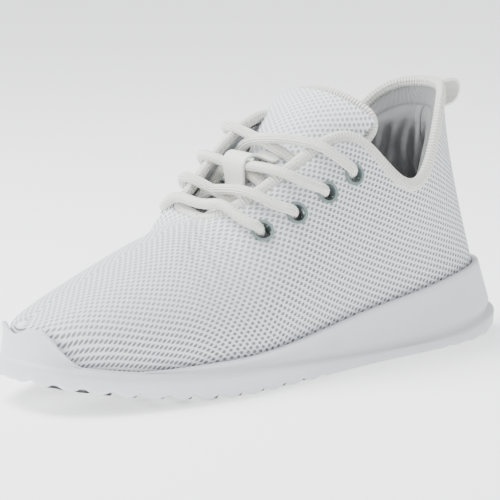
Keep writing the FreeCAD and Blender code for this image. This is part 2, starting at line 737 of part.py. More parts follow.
def arc_path(points):
    """Straight runs joined by tangent arcs; returns the wire and the radii."""
    edges, radii = [], []
    start = points[0]
    for before, corner, after in zip(points, points[1:], points[2:]):
        back, ahead = before - corner, after - corner
        reach = 0.45 * min(back.Length, ahead.Length)
        back.normalize()
        ahead.normalize()
        half_turn = (math.pi - back.getAngle(ahead)) / 2
        radius = reach / math.tan(half_turn)
        radii.append(radius)
        first, last = corner + back * reach, corner + ahead * reach
        inward = (back + ahead).normalize()
        middle = corner + inward * (radius / math.cos(half_turn) - radius)
        edges.append(Part.LineSegment(start, first).toShape())
        edges.append(Part.Arc(first, middle, last).toShape())
        start = last
    edges.append(Part.LineSegment(start, points[-1]).toShape())
    return Part.Wire(edges), radii


def pipe(wire, radius):
    edge = wire.OrderedEdges[0]
    start = edge.valueAt(edge.FirstParameter)
    ring = Part.Wire(Part.makeCircle(radius, start, edge.tangentAt(edge.FirstParameter)))
    return wire.makePipeShell([ring], True, False)


def make_lace():
    route = lace_route()
    wire, radii = arc_path(route)
    solid = pipe(wire, LACE_RADIUS)
    print("lace length %.0f, radii %s" % (wire.Length, [round(r, 1) for r in radii]))
    print("lace volume / (section * length) %.4f" %
          (solid.Volume / (math.pi * LACE_RADIUS ** 2 * wire.Length)))
    return solid


def make_aglet(at_start):
    route = lace_route()
    end, before = (route[0], route[1]) if at_start else (route[-1], route[-2])
    direction = (end - before).normalize()
    return Part.makeCylinder(AGLET_RADIUS, AGLET_LENGTH, end + direction * 0.05, direction)


def main():
    os.makedirs("parts", exist_ok=True)
    solid_from("midsole", make_midsole())
    solid_from("outsole_pads_forefoot",
               make_pads([(8.5, 1.5, 6.8, 11), (19.5, 2.7, 6.8, 7), (31, 3.6, 6.4, 5)]))
    solid_from("outsole_pads_heel", make_pads([(8.5, 9.7, 13.3, 8), (19.5, 9.7, 12, 4)]))
    solid_from("strobel_board", insole_layer(STROBEL, lambda p: upper_inset(p) + MESH[1] + FIT))
    sock = lambda p: upper_inset(p) + SOCK_CLEAR + 4.8
    solid_from("sockliner_foam", insole_layer(SOCK_FOAM, sock))
    solid_from("sockliner_cover", insole_layer(SOCK_COVER, sock))

    holes = eyelet_holes(EYELET_BARREL + 0.15)
    solid_from("upper", front_and_back(MESH).cut(holes))
    solid_from("vamp_lining", make_vamp_lining().cut(holes))
    solid_from("toe_puff", make_toe_puff())
    solid_from("heel_counter", make_heel_counter())
    solid_from("collar_foam", make_collar_foam())
    solid_from("collar_lining", make_collar_lining())
    solid_from("collar_binding", make_binding())
    solid_from("heel_seam_tape", make_heel_seam_tape())
    solid_from("heel_pull_loop", make_pull_loop())
    for side, name in ((1, "lateral"), (-1, "medial")):
        solid_from("eyestay_" + name, make_eyestay(side))
        solid_from("eyelets_" + name, make_eyelets(side))
        solid_from("eyelet_washers_" + name, make_washers(side))

    solid_from("tongue", tongue_layer(TONGUE_MESH, 0, 1, 0))
    solid_from("tongue_foam", tongue_layer(TONGUE_FOAM, 0.25, 0.96, 3.5))
    solid_from("tongue_lining", tongue_layer(TONGUE_LINING, 0.03, 0.985, 1.5))
    solid_from("tongue_binding", make_tongue_binding())
    solid_from("lace_keeper", make_keeper())
    solid_from("shoelace", make_lace())
    solid_from("aglet_lateral", make_aglet(False))
    solid_from("aglet_medial", make_aglet(True))


main()
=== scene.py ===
import math

import bmesh
import bpy
import numpy as np
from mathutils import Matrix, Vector


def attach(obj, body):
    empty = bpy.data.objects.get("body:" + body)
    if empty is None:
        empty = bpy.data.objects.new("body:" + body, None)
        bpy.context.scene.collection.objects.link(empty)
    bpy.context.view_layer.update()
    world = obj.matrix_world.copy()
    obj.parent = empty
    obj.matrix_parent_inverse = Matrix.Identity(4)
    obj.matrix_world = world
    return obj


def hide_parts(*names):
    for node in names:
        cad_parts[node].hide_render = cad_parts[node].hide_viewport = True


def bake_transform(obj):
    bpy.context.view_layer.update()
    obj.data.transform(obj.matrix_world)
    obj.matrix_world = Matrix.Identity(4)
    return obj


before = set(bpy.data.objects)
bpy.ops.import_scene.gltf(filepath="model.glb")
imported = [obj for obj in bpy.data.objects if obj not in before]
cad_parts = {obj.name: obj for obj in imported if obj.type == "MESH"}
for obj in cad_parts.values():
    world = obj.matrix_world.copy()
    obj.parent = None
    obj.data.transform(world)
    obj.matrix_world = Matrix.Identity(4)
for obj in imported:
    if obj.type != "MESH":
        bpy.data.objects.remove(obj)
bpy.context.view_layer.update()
MM = 0.001

# ---- camera: photograph's viewing angle ----
AZIMUTH, ELEVATION, DISTANCE = math.radians(50), math.radians(10), 1.0
TARGET = Vector((0, -0.0065, 0.0515))
back = Vector((math.sin(AZIMUTH) * math.cos(ELEVATION), -math.cos(AZIMUTH) * math.cos(ELEVATION),
               math.sin(ELEVATION)))
lens = bpy.data.cameras.new("camera")
lens.lens, lens.sensor_width = 162, 36
camera = bpy.data.objects.new("camera", lens)
camera.location = TARGET + back * DISTANCE
camera.rotation_euler = back.to_track_quat("Z", "Y").to_euler()
bpy.context.collection.objects.link(camera)
bpy.context.scene.camera = camera

# ---- shape of the shoe, the same rules as the CAD part (millimetres, a = distance back) ----
LENGTH, STATIONS, THROAT = 274.0, 14, 5.5
OUTLINE = {
    1: ([0, 0.5, 7, 24, 50, 78, 105, 135, 165, 195, 225, 250, 267, 273.5, 274],
        [0, 13, 26, 37.5, 45, 49.3, 49, 44, 39, 37, 36, 31.5, 21.5, 10, 0]),
    -1: ([0, 0.5, 9.5, 26, 48, 72, 98, 128, 158, 190, 222, 249, 267, 273.5, 274],
         [0, 11, 20.5, 31, 40.5, 47, 46, 38.5, 33, 33.5, 35, 31.5, 21.5, 10, 0]),
}
RIM_Z = [32, 19.8, 15.8, 16.6, 20.6, 25.2, 28.8, 34.5, 37]
FLOOR_Z = [21, 14, 10.2, 10.5, 13, 17, 20.5, 22, 22.5]
GROOVE_Z = [21, 14.5, 11.4, 10.8, 7.8, 5.4, 5.2, 6.4, 12.5]
RIM_INSET = [3, 3, 2.6, 2.4, 2.4, 2.4, 2.4, 2.4, 2.6, 3, 4, 6, 8.6, 10, 10.4]
RIM_WALL, CUP_FIT, PAD_THICK = 2.8, 0.7, 1.2
RIDGE_Z = [37, 37.5, 38.8, 40.6, 43, 46, 49, 52.6, 56.5, 61, 65.5, 69]
EDGE_X = [0, 11, 17.5, 21.5, 23.5, 25, 30, 34, 34, 30, 26, 22.6, 19.2, 15.6, 12, 8.2, 4.2, 0]
EDGE_A = [99, 101.5, 112, 127, 145, 163, 177, 190, 206, 216.5, 222.5, 227, 231, 234.4, 237.2,
          239.2, 240.4, 240.8]
EDGE_Z = [69, 69.5, 74, 82.5, 93, 102.5, 95, 77, 76, 96, 106, 111.8, 115, 117, 118, 118.4,
          118.6, 118.6]
MEDIAL_RISE = [0, 0.5, 4, 7, 8, 5.5, 2, 0.5, 0, 0, 0, 0, 0, 0, 0, 0, 0, 0]
MEDIAL_WIDE = [0, 13, 5, 5, 5.6, 4.5, 2.1, 0.3, 0, 0, 0, 0, 0, 0, 0, 0, 0, 0]
LOWER_HANDLE = {1: [5.5, 7, 11, 16, 21, 25, 27, 29, 27, 17, 21, 25, 27, 27, 27],
                -1: [5.5, 7, 8, 11, 14, 19, 26, 29, 27, 17, 21, 25, 27, 27, 27]}
UPPER_HANDLE = {1: [5.5, 8, 14, 20, 25, 28, 25, 24, 22, 15, 19, 25, 28, 28, 28],
                -1: [5.5, 8, 12, 17, 22, 27, 25, 24, 22, 15, 19, 25, 28, 28, 28]}
LEAN = [0.05, 0.08, 0.12, 0.14, 0.14, 0.12, 0.1, 0.1, 0.08, 0.03, -0.05, -0.18, -0.28, -0.3, -0.3]
RIDGE_TURN = [90, 62, 30, 8, 8, 30, 50]
LEAVE_X = [0.64, 0.62, 0.7, 0.68, 0.62, 0.5, 0.3, 0.08, 0.05, 0.05, 0.05, 0.05, 0.05, 0.04, 0.03,
           0.02, 0.01, 0]
LEAVE_A = [-0.72, -0.5, -0.2, -0.05, 0, 0, 0, 0, 0, 0, 0.02, 0.03, 0.04, 0.05, 0.05, 0.05, 0.05,
           0.05]
LEAVE_Z = [-0.27, -0.5, -0.7, -0.75, -0.8, -0.86, -0.95, -1, -1, -1, -1, -1, -1, -1, -1, -1, -1,
           -1]
EDGE_RADIUS, EDGE_GAP, EDGE_DEPTH = 2.4, 0.4, 1.6
EYELET_STATION = {1: [6.59, 7.09, 7.57, 8.05], -1: [6.5, 6.98, 7.4, 7.9]}
EYELET_V = [0.8, 0.785, 0.775, 0.8]
LACE_RADIUS = 2.25
OVER_SHIFT = {1: [0.39, 0.44, 0.46, 0.4], -1: [0.5, 0.4, 0.44, 0.42]}
UNDER_SHIFT = {1: [0.08, -0.1, -0.1], -1: [0.1, 0.0, 0.0]}
CROSSING = [(0.375, 4.4, 9.1), (0.51, 5.1, 9.5), (0.65, 5.9, 10.4)]
BAR_PLACE, BAR_HEIGHT = 0.26, 9.5
KEEPER_PLACE, KEEPER_HALF, KEEPER_HEIGHT, KEEPER_LEAN = 0.525, 12.0, 12.8, 6.0
TONGUE_A = [88, 99, 115, 131, 147, 162, 175.5]
TONGUE_Z = [58.5, 61, 69.8, 82, 95.2, 108.3, 118.8]
TONGUE_R = [40, 31, 23.5, 21, 21, 26, 44]
TONGUE_R_MEDIAL = [40, 31, 23.5, 21, 25, 42, 50]
TONGUE_HALF = [12, 13.5, 17, 22.5, 24.5, 28, 34.5]
TONGUE_SHIFT = [0, 0, 0, 0, -0.5, -2.5, -6.5]
TONGUE_TILT = [0, 0, 0, 3, 11, 13, 4]
TONGUE_LENGTH = 106.0


def blend(values, t, start="even", end="even"):
    """Uniform cubic B-spline of the values, for an array of places."""
    v = np.asarray(values, float)
    first = {"even": v[1], "odd": -v[1], "free": 2 * v[0] - v[1]}[start]
    last = {"even": v[-2], "odd": -v[-2], "free": 2 * v[-1] - v[-2]}[end]
    w = np.concatenate([[first], v, [last]])
    t = np.asarray(t, float)
    k = np.clip(t.astype(int), 0, len(v) - 2)
    f = t - k
    return ((1 - f) ** 3 * w[k] + (3 * f ** 3 - 6 * f * f + 4) * w[k + 1]
            + (-3 * f ** 3 + 3 * f * f + 3 * f + 1) * w[k + 2] + f ** 3 * w[k + 3]) / 6


def along(values, a):
    return blend(values, np.asarray(a) / LENGTH * (len(values) - 1), "free", "free")


def bottom_z(a):
    toe = 12.5 * np.clip((88.0 - a) / 88.0, 0, None) ** 1.5
    return toe + 5.0 * np.clip((a - 240.0) / 34.0, 0, None) ** 2


def vec(x, a, z):
    x, a, z = np.broadcast_arrays(x, a, z)
    return np.stack([x, a - LENGTH / 2, z], axis=-1).astype(float)


def unit(d):
    return d / np.maximum(np.linalg.norm(d, axis=-1, keepdims=True), 1e-9)


def smooth(t):
    t = np.clip(t, 0, 1)
    return t * t * (3 - 2 * t)


def outline(side, p):
    a_values, x_values = OUTLINE[side]
    return side * blend(x_values, p, "odd", "odd"), blend(a_values, p)


def outward(side, p):
    p = np.asarray(p, float)
    x0, a0 = outline(side, np.maximum(0, p - 0.02))
    x1, a1 = outline(side, np.minimum(STATIONS, p + 0.02))
    dx, da = x1 - x0, a1 - a0
    size = np.hypot(dx, da)
    nx, na = side * da / size, -side * dx / size
    tip = (p < 0.02) | (p > STATIONS - 0.02)
    return np.where(tip, 0.0, nx), np.where(tip, np.where(p < 1, -1.0, 1.0), na)


def inset_point(side, p, inset):
    x, a = outline(side, p)
    nx, na = outward(side, p)
    return x - nx * inset, a - na * inset


def top_edge(side, p):
    p = np.asarray(p, float)
    q = np.clip(p, 0, THROAT)
    ridge = vec(0, 14 + 85 * (q / THROAT) ** 2, blend(RIDGE_Z, 2 * q, "even", "free"))
    t = 2 * (np.clip(p, THROAT, STATIONS) - THROAT)
    rise = blend(MEDIAL_RISE, t, "free", "even") if side < 0 else 0.0 * t
    x = blend(EDGE_X, t, "free", "odd")
    x = x + blend(MEDIAL_WIDE, t, "free", "odd") if side < 0 else x
    edge = vec(side * x, blend(EDGE_A, t, "free", "even"), blend(EDGE_Z, t, "free", "even") + rise)
    return np.where((p < THROAT)[..., None], ridge, edge)


def leaving(side, p):
    p = np.asarray(p, float)
    q = np.clip(p, 0, THROAT)
    ahead = top_edge(side, np.minimum(THROAT - 0.001, q + 0.05))
    tangent = unit(ahead - top_edge(side, np.maximum(0, np.minimum(q, THROAT - 0.002) - 0.05)))
    turn = np.radians(blend(RIDGE_TURN, q, "free", "free"))
    ridge = vec(side * np.cos(turn), LENGTH / 2, 0) - tangent * np.sin(turn)[..., None]
    t = 2 * (np.clip(p, THROAT, STATIONS) - THROAT)
    edge = unit(vec(side * blend(LEAVE_X, t, "free", "odd"),
                    blend(LEAVE_A, t, "free", "even") + LENGTH / 2, blend(LEAVE_Z, t, "free", "even")))
    return np.where((p < THROAT)[..., None], ridge, edge)


def rib(side, p, v):
    x, a = inset_point(side, p, blend(RIM_INSET, p) + RIM_WALL + CUP_FIT)
    low, rim = along(FLOOR_Z, a) + 0.2, along(RIM_Z, a) + 0.3
    foot = vec(x, a, low + (rim - low) * v / 0.1)
    t = (np.clip(v, 0.1, 1) - 0.1)[..., None] / 0.9
    nx, na = outward(side, p)
    lean = blend(LEAN, p)
    start = vec(x, a, rim)
    low_handle = start + vec(nx * lean, na * lean + LENGTH / 2, 1) * blend(LOWER_HANDLE[side], p)[..., None]
    end = top_edge(side, p)
    high_handle = end + leaving(side, p) * blend(UPPER_HANDLE[side], p)[..., None]
    s = 1 - t
    arch = start * s ** 3 + low_handle * 3 * s * s * t + high_handle * 3 * s * t * t + end * t ** 3
    return np.where((v <= 0.1)[..., None], foot, arch)


def upper_face(side, p, v):
    p, v = np.broadcast_arrays(np.asarray(p, float), np.asarray(v, float))
    reach = (0.9 * np.clip(1 - abs(p - THROAT) / 1.8, 0, 1) * np.clip((1 - v) / 0.3, 0, 1)
             * np.clip((v - 0.1) / 0.2, 0, 1))
    total = 0
    for shift, weight in ((-1, 1), (-0.5, 3), (0, 4), (0.5, 3), (1, 1)):
        total = total + rib(side, p + shift * reach, v) * (weight / 12)
    return total


def upper_normal(side, p, v):
    p, v = np.broadcast_arrays(np.asarray(p, float), np.asarray(v, float))
    high = np.where(abs(p - THROAT) < 1e-6, p, np.minimum(STATIONS, p + 0.02))
    along_p = upper_face(side, high, v) - upper_face(side, np.maximum(0, p - 0.02), v)
    along_v = upper_face(side, p, np.minimum(1, v + 0.01)) - upper_face(side, p, np.maximum(0, v - 0.01))
    n = np.cross(along_p, along_v) * side
    n[..., 0] = np.where((p < 1e-6) | (p > STATIONS - 1e-6), 0.0, n[..., 0])
    ahead = top_edge(side, np.minimum(THROAT - 1e-9, p + 0.05))
    ridge = ahead - top_edge(side, np.clip(p - 0.05, 0, THROAT - 0.1))
    upright = np.stack([0 * p, -ridge[..., 2], ridge[..., 1]], axis=-1)
    on_ridge = (v > 1 - 1e-6) & (p < THROAT + 1e-6)
    return unit(np.where(on_ridge[..., None], upright, n))


def layer(side, p, v, depth):
    return upper_face(side, p, v) - upper_normal(side, p, v) * np.asarray(depth)[..., None]


# ---- mesh helpers ----
def from_grid(name, points, uv=None, wrap_rows=False, wrap_columns=False, cap=False):
    """Quads over a grid of points; uv is a grid of texture coordinates in millimetres."""
    rows, columns = points.shape[:2]
    mesh = bpy.data.meshes.new(name)
    last_r, last_c = rows - (not wrap_rows), columns - (not wrap_columns)
    faces, loops = [], []
    for i in range(last_r):
        for j in range(last_c):
            corners = ((i, j), (i, j + 1), (i + 1, j + 1), (i + 1, j))
            faces.append([(r % rows) * columns + c % columns for r, c in corners])
            loops.extend(corners)
    if cap:
        faces.append([j for j in range(columns)][::-1])
        faces.append([(rows - 1) * columns + j for j in range(columns)])
    mesh.from_pydata((points.reshape(-1, 3) * MM).tolist(), [], faces)
    if uv is not None:
        layer_uv = mesh.uv_layers.new(name="cloth")
        flat = np.zeros((len(mesh.loops), 2))
        # a closed ring of quads keeps counting instead of jumping back to the first value
        step_c = uv[:, 1] - uv[:, 0] if wrap_columns else None
        step_r = uv[1] - uv[0] if wrap_rows else None
        for n, (r, c) in enumerate(loops):
            value = uv[r % rows, c % columns]
            if c >= columns:
                value = uv[r % rows, columns - 1] + step_c[r % rows]
            if r >= rows:
                value = uv[rows - 1, c % columns] + step_r[c % columns]
            flat[n] = value
        layer_uv.data.foreach_set("uv", flat.ravel())
    mesh.shade_smooth()
    mesh.update()
    piece = bpy.data.objects.new(name, mesh)
    bpy.context.collection.objects.link(piece)
    return piece


def weld(piece, distance=0.00002):
    work = bmesh.new()
    work.from_mesh(piece.data)
    bmesh.ops.remove_doubles(work, verts=work.verts, dist=distance)
    bmesh.ops.recalc_face_normals(work, faces=work.faces)
    work.to_mesh(piece.data)
    work.free()
    return piece


def join(name, pieces):
    """One mesh of several."""
    with bpy.context.temp_override(active_object=pieces[0], object=pieces[0],
                                   selected_objects=pieces, selected_editable_objects=pieces):
        bpy.ops.object.join()
    pieces[0].name = name
    pieces[0].data.name = name
    return pieces[0]


def pierce(piece, radius):
    """Remove the cloth inside each eyelet; the eyelet's flange covers the edge."""
    work = bmesh.new()
    work.from_mesh(piece.data)
    gone = set()
    for side in (1, -1):
        for station, v in zip(EYELET_STATION[side], EYELET_V):
            centre = Vector(upper_face(side, station, v) * MM)
            axis = Vector(upper_normal(side, station, v))
            for face in work.faces:
                offset = face.calc_center_median() - centre
                depth = offset.dot(axis)
                if abs(depth) < 8 * MM and (offset - axis * depth).length < radius * MM:
                    gone.add(face)
    bmesh.ops.delete(work, geom=list(gone), context="FACES")
    work.to_mesh(piece.data)
    work.free()


def thicken(piece, thickness, offset=-1.0):
    solid = piece.modifiers.new("thickness", "SOLIDIFY")
    solid.thickness = thickness
    solid.offset = offset
    return piece


def sweep(name, centres, sides, ups, profile, uv_step=1.0, closed=False):
    """Tube of a closed profile (pairs across, up) carried along a line of centres."""
    profile = np.asarray(profile, float)
    points = centres[:, None] + sides[:, None] * profile[None, :, :1] + ups[:, None] * profile[None, :, 1:]
    gaps = np.linalg.norm(np.diff(centres, axis=0), axis=1)
    run = np.concatenate([[0], np.cumsum(gaps)]) * uv_step
    round_gaps = np.linalg.norm(np.diff(profile, axis=0), axis=1)
    turn = np.concatenate([[0], np.cumsum(round_gaps)])
    uv = np.stack(np.meshgrid(run, turn, indexing="ij"), axis=-1)
    return from_grid(name, points, uv, closed, True, cap=not closed)


# ---- materials ----
class Value:
    """A node's output that can be reckoned with; each operation adds a Math node."""

    def __init__(self, tree, socket):
        self.tree, self.socket = tree, socket

    def op(self, operation, one, two=None):
        made = self.tree.nodes.new("ShaderNodeMath")
        made.operation = operation
        for slot, value in enumerate((one, two)):
            if value is not None:
                plug(self.tree, made.inputs[slot], value)
        return Value(self.tree, made.outputs[0])

    def __add__(self, other):
        return self.op("ADD", self, other)

    def __radd__(self, other):
        return self.op("ADD", other, self)

    def __sub__(self, other):
        return self.op("SUBTRACT", self, other)

    def __rsub__(self, other):
        return self.op("SUBTRACT", other, self)

    def __mul__(self, other):
        return self.op("MULTIPLY", self, other)

    def __truediv__(self, other):
        return self.op("DIVIDE", self, other)

    def __mod__(self, other):
        return self.op("MODULO", self, other)

    def __pow__(self, other):
        return self.op("POWER", self, other)

    def __abs__(self):
        return self.op("ABSOLUTE", self)

    def floor(self):
        return self.op("FLOOR", self)

    def centred(self):
        """Place within a repeat, from -0.5 to 0.5."""
        return self.op("FRACT", self) - 0.5

    def sine(self, pitch=2 * math.pi):
        return self.op("SINE", self * (2 * math.pi / pitch))

    def clamped(self):
        self.socket.node.use_clamp = True
        return self


def plug(tree, socket, value):
    """Give a socket a number, a colour or another node's output."""
    if isinstance(value, Value):
        tree.links.new(value.socket, socket)
    elif isinstance(value, tuple):
        socket.default_value = (*value, 1.0)
    else:
        socket.default_value = value


def shaded(colour, share):
    """A darker or lighter tone."""
    return tuple(min(1, c * share) for c in colour)


class Finish:
    """A material, and short ways to add nodes to it."""

    def __init__(self, name, roughness, sheen=0.0):
        self.material = bpy.data.materials.new(name)
        self.material.use_nodes = True
        self.tree = self.material.node_tree
        self.inputs = self.tree.nodes["Principled BSDF"].inputs
        self.set("Roughness", roughness)
        self.set("Sheen Weight", sheen)

    def set(self, name, value):
        plug(self.tree, self.inputs[name], value)

    def make(self, kind, output, **values):
        """A node's output; values are its inputs by name."""
        node = self.tree.nodes.new("ShaderNode" + kind)
        for name, value in values.items():
            plug(self.tree, node.inputs[name], value)
        return Value(self.tree, node.outputs[output])

    def cloth(self):
        """Millimetres of cloth, along the first and second way of its grid."""
        place = self.make("UVMap", 0)
        place.socket.node.uv_map = "cloth"
        split = self.make("SeparateXYZ", 0, Vector=place)
        return split, Value(self.tree, split.socket.node.outputs[1])

    def noise(self, scale, detail=3.0):
        place = self.make("TexCoord", "Object")
        return self.make("TexNoise", "Fac", Scale=scale, Detail=detail, Vector=place)

    def mix(self, factor, one, two):
        node = self.tree.nodes.new("ShaderNodeMix")
        node.data_type = "RGBA"
        for slot, value in ((0, factor), (6, one), (7, two)):
            plug(self.tree, node.inputs[slot], value)
        return Value(self.tree, node.outputs[2])

    def bump(self, height, strength, distance):
        self.set("Normal", self.make("Bump", 0, Strength=strength, Distance=distance, Height=height))


def knit_material(name, yarn, hole_shade_and_lining, pitch_u, pitch_v, relief):
    """Knitted mesh with staggered oval holes; the holes' colour is painted shade, with the darker lining
    seen through them, and painted light makes them lighter where the cloth faces up.
    """
    knitted = Finish(name, 0.85, 0.25)
    u, v = knitted.cloth()
    row = v / pitch_v
    column = u / pitch_u + abs(row.floor()) % 2.0 * 0.5
    across, upward = column.centred(), row.centred()
    far = ((abs(across) / 0.24) ** 2.0 + (abs(upward) / 0.33) ** 2.0) ** 0.5
    mask = ((1.3 - far) / 0.55).clamped()
    fibre = knitted.noise(2600, 2.0)
    strands = (column + upward * 0.9).sine(0.5)
    knitted.bump(strands * 0.10 + fibre * 0.25 - mask, 1.0, relief)
    thread = knitted.mix(fibre * 0.10 + knitted.noise(60, 2.0) * 0.05, yarn, shaded(yarn, 0.72))
    # painted light: the holes' painted shade turns lighter where the cloth faces up, towards the light
    # above
    facing = knitted.make("SeparateXYZ", 2, Vector=knitted.make("NewGeometry", "Normal"))
    lit = ((facing - 0.15) * 1.4).clamped()
    lit_hole_shade = knitted.mix(lit, hole_shade_and_lining, tuple(0.55 * h + 0.45 * y for h, y in zip(hole_shade_and_lining, yarn)))
    knitted.set("Base Color", knitted.mix(mask * (1.0 - fibre * 0.3), thread, lit_hole_shade))
    return knitted.material


def ribbed_material(name, base, pitch, ribs_along=False, relief=0.0002, grain=1800, contrast=0.16):
    """Knitted or woven tape and cord, with fine ribs across its length or along it, and painted shade in
    the ribs' grooves.
    """
    ribbed = Finish(name, 0.8, 0.3)
    run, turn = ribbed.cloth()
    ribs, loops = (turn, run) if ribs_along else (run, turn)
    wave = ribs.sine(pitch)
    ribbed.bump((wave + loops.sine(pitch * 1.3) * 0.35) * 0.4 + ribbed.noise(grain) * 0.6, 0.9, relief)
    # painted shade: the colour darkens in the grooves between ribs, by the share given in contrast
    groove = (1.0 - wave) * contrast
    ribbed.set("Base Color", ribbed.mix(groove + ribbed.noise(70) * 0.18, base, shaded(base, 0.78)))
    return ribbed.material


def plain_material(name, base, roughness, grain, relief, variation=0.06, metallic=0.0):
    """Foam, rubber, board or paint with a fine grain and slight stains."""
    plain = Finish(name, roughness)
    plain.set("Metallic", metallic)
    plain.bump(plain.noise(grain, 4.0) + plain.noise(grain / 9, 2.0) * 1.2, 0.5, relief)
    plain.set("Base Color", plain.mix(plain.noise(45, 4.0), base, shaded(base, 1 - variation * 2)))
    plain.set("Roughness", plain.noise(90) * 0.12 + (roughness - 0.06))
    return plain.material


def satin_material(name, base, hem=None, stitches=None):
    """Grey satin with soft wrinkles, painted darker in their hollows and lighter on their crests as shade
    and highlight; a knitted hem above a height, or stitches either side of a seam.
    """
    satin_cloth = Finish(name, 0.42, 0.4)
    u, v = satin_cloth.cloth()
    folds = satin_cloth.noise(75, 2.0)
    height = folds * 14.0 + u.sine(0.5) * v.sine(0.5) * 0.35
    # painted shade and highlight: the wrinkles' noise darkens the colour in their hollows and lightens it
    # on their crests
    tone = satin_cloth.mix(folds, shaded(base, 0.7), shaded(base, 1.3))
    if hem is not None:
        above = ((v - hem) * 2.0).clamped()
        seam_line = (1.0 - abs(v - hem)).clamped()
        tone = satin_cloth.mix(above, tone, shaded(base, 1.25))
        tone = satin_cloth.mix(seam_line * 0.6, tone, shaded(base, 0.3))
        height = height + u.sine(1.2) * above * 1.2
    if stitches is not None:
        row = (1.0 - abs(abs(u) - stitches) / 0.35).clamped()
        dash = row.op("GREATER_THAN", (v / 2.4).centred(), -0.05)
        tone = satin_cloth.mix(row * dash, tone, shaded(base, 0.2))
        height = height - row * 2.0
    satin_cloth.bump(height, 1.0, 0.0004)
    satin_cloth.set("Base Color", tone)
    return satin_cloth.material


YARN = (0.86, 0.88, 0.915)
CREAM = (0.86, 0.85, 0.79)
# the second colour is the holes' painted shade, with the darker lining seen through them
knit = knit_material("knit", YARN, (0.10, 0.12, 0.15), 3.4, 1.62, 0.0007)
tongue_knit = knit_material("tongue_knit", YARN, (0.2, 0.22, 0.26), 2.8, 1.9, 0.0005)
binding_cloth = ribbed_material("binding_cloth", CREAM, 1.5, relief=0.0007, grain=1000, contrast=0.3)
cord_cloth = ribbed_material("cord_cloth", CREAM, 1.18, ribs_along=True, relief=0.0004, grain=1500,
                             contrast=0.4)
tape_cloth = ribbed_material("tape_cloth", (0.87, 0.865, 0.82), 0.8, ribs_along=True, relief=0.00015)
foam = plain_material("foam", (0.70, 0.71, 0.735), 0.55, 900, 0.00006)
rubber = plain_material("rubber", (0.045, 0.047, 0.05), 0.6, 700, 0.0001, 0.15)
satin = satin_material("satin", (0.27, 0.28, 0.285), hem=81.5)
seam_cloth = satin_material("seam_cloth", (0.31, 0.32, 0.325), stitches=3.3)
vamp_lining_cloth = ribbed_material("vamp_lining_cloth", (0.62, 0.63, 0.65), 1.6, ribs_along=True)
sock_cloth = ribbed_material("sock_cloth", (0.42, 0.44, 0.47), 0.9, ribs_along=True)
board = plain_material("board", (0.74, 0.72, 0.68), 0.85, 1100, 0.0002)
stiff = plain_material("stiff", (0.8, 0.8, 0.78), 0.6, 800, 0.0001)
eyelet_paint = plain_material("eyelet_paint", (0.22, 0.28, 0.28), 0.3, 500, 0.00004, metallic=0.3)
washer_paint = plain_material("washer_paint", (0.45, 0.5, 0.49), 0.4, 500, 0.00004, metallic=0.35)
clear_tip = plain_material("clear_tip", (0.82, 0.8, 0.72), 0.2, 300, 0.00003)


def paint(piece, material):
    piece.data.materials.clear()
    piece.data.materials.append(material)
    return piece


# ---- shoelace: the route's points of the CAD part ----
def tongue_axis(s):
    s = np.asarray(s, float)
    t = s * (len(TONGUE_A) - 1)

    def point(u):
        return vec(blend(TONGUE_SHIFT, u, "free", "free"), blend(TONGUE_A, u, "free", "free"),
                   blend(TONGUE_Z, u, "free", "free"))

    tangent = unit(point(np.minimum(6.0, t + 0.02)) - point(np.maximum(0.0, t - 0.02)))
    tilt = np.radians(blend(TONGUE_TILT, t, "free", "free"))
    level_up = np.stack([0 * t, -tangent[..., 2], tangent[..., 1]], axis=-1)
    right = np.stack([1 + 0 * t, 0 * t, 0 * t], axis=-1)
    across = right * np.cos(tilt)[..., None] - level_up * np.sin(tilt)[..., None]
    up = level_up * np.cos(tilt)[..., None] + right * np.sin(tilt)[..., None]
    return point(t), tangent, across, up


def tongue_face(s, w, depth, trim=0.0):
    s, w, depth = np.broadcast_arrays(np.asarray(s, float), np.asarray(w, float), np.asarray(depth, float))
    centre, _, across, up = tongue_axis(s)
    t = s * (len(TONGUE_A) - 1)
    radius = np.where(w < 0, blend(TONGUE_R_MEDIAL, t, "free", "free"), blend(TONGUE_R, t, "free", "free"))
    half = blend(TONGUE_HALF, t, "free", "free") - trim
    turn = w * half / radius
    reach = radius - depth
    return (centre + across * (reach * np.sin(turn))[..., None]
            + up * (reach * np.cos(turn) - radius)[..., None])


def over_tongue(place, height):
    centre, _, _, up = tongue_axis(place)
    return centre + up * height


def edge_frame(side, p):
    p = np.asarray(p, float)
    low, high = np.maximum(THROAT, p - 0.04), np.minimum(STATIONS, p + 0.04)
    tangent = unit(top_edge(side, high) - top_edge(side, low))
    flat = (p < THROAT + 1e-6) | (p > STATIONS - 1e-6)
    level = np.where((p < THROAT + 1)[..., None], np.array([side, 0, 0]), np.array([-side, 0, 0]))
    tangent = np.where(flat[..., None], level, tangent)
    out = -leaving(side, p)
    out = out - tangent * np.sum(out * tangent, axis=-1, keepdims=True)
    out[..., 0] = np.where(flat, 0.0, out[..., 0])
    return top_edge(side, p), tangent, unit(out)


def binding_centre(side, p):
    centre, _, out = edge_frame(side, p)
    n = upper_normal(side, p, 1.0)
    return centre + out * (EDGE_RADIUS + EDGE_GAP) - n * EDGE_DEPTH, n, out


def under_edge(side, row):
    middle, n, _ = binding_centre(side, EYELET_STATION[side][row] + UNDER_SHIFT[side][row])
    return middle - n * (EDGE_RADIUS + LACE_RADIUS + 0.7)


def over_edge(side, row):
    middle, n, out = binding_centre(side, EYELET_STATION[side][row] - OVER_SHIFT[side][row])
    moved = np.array([-4.5, 0, 0]) if (side, row) == (-1, 3) else 0.0
    return middle + n * 6.4 + out * (0.5 if side > 0 else 1.5) + moved


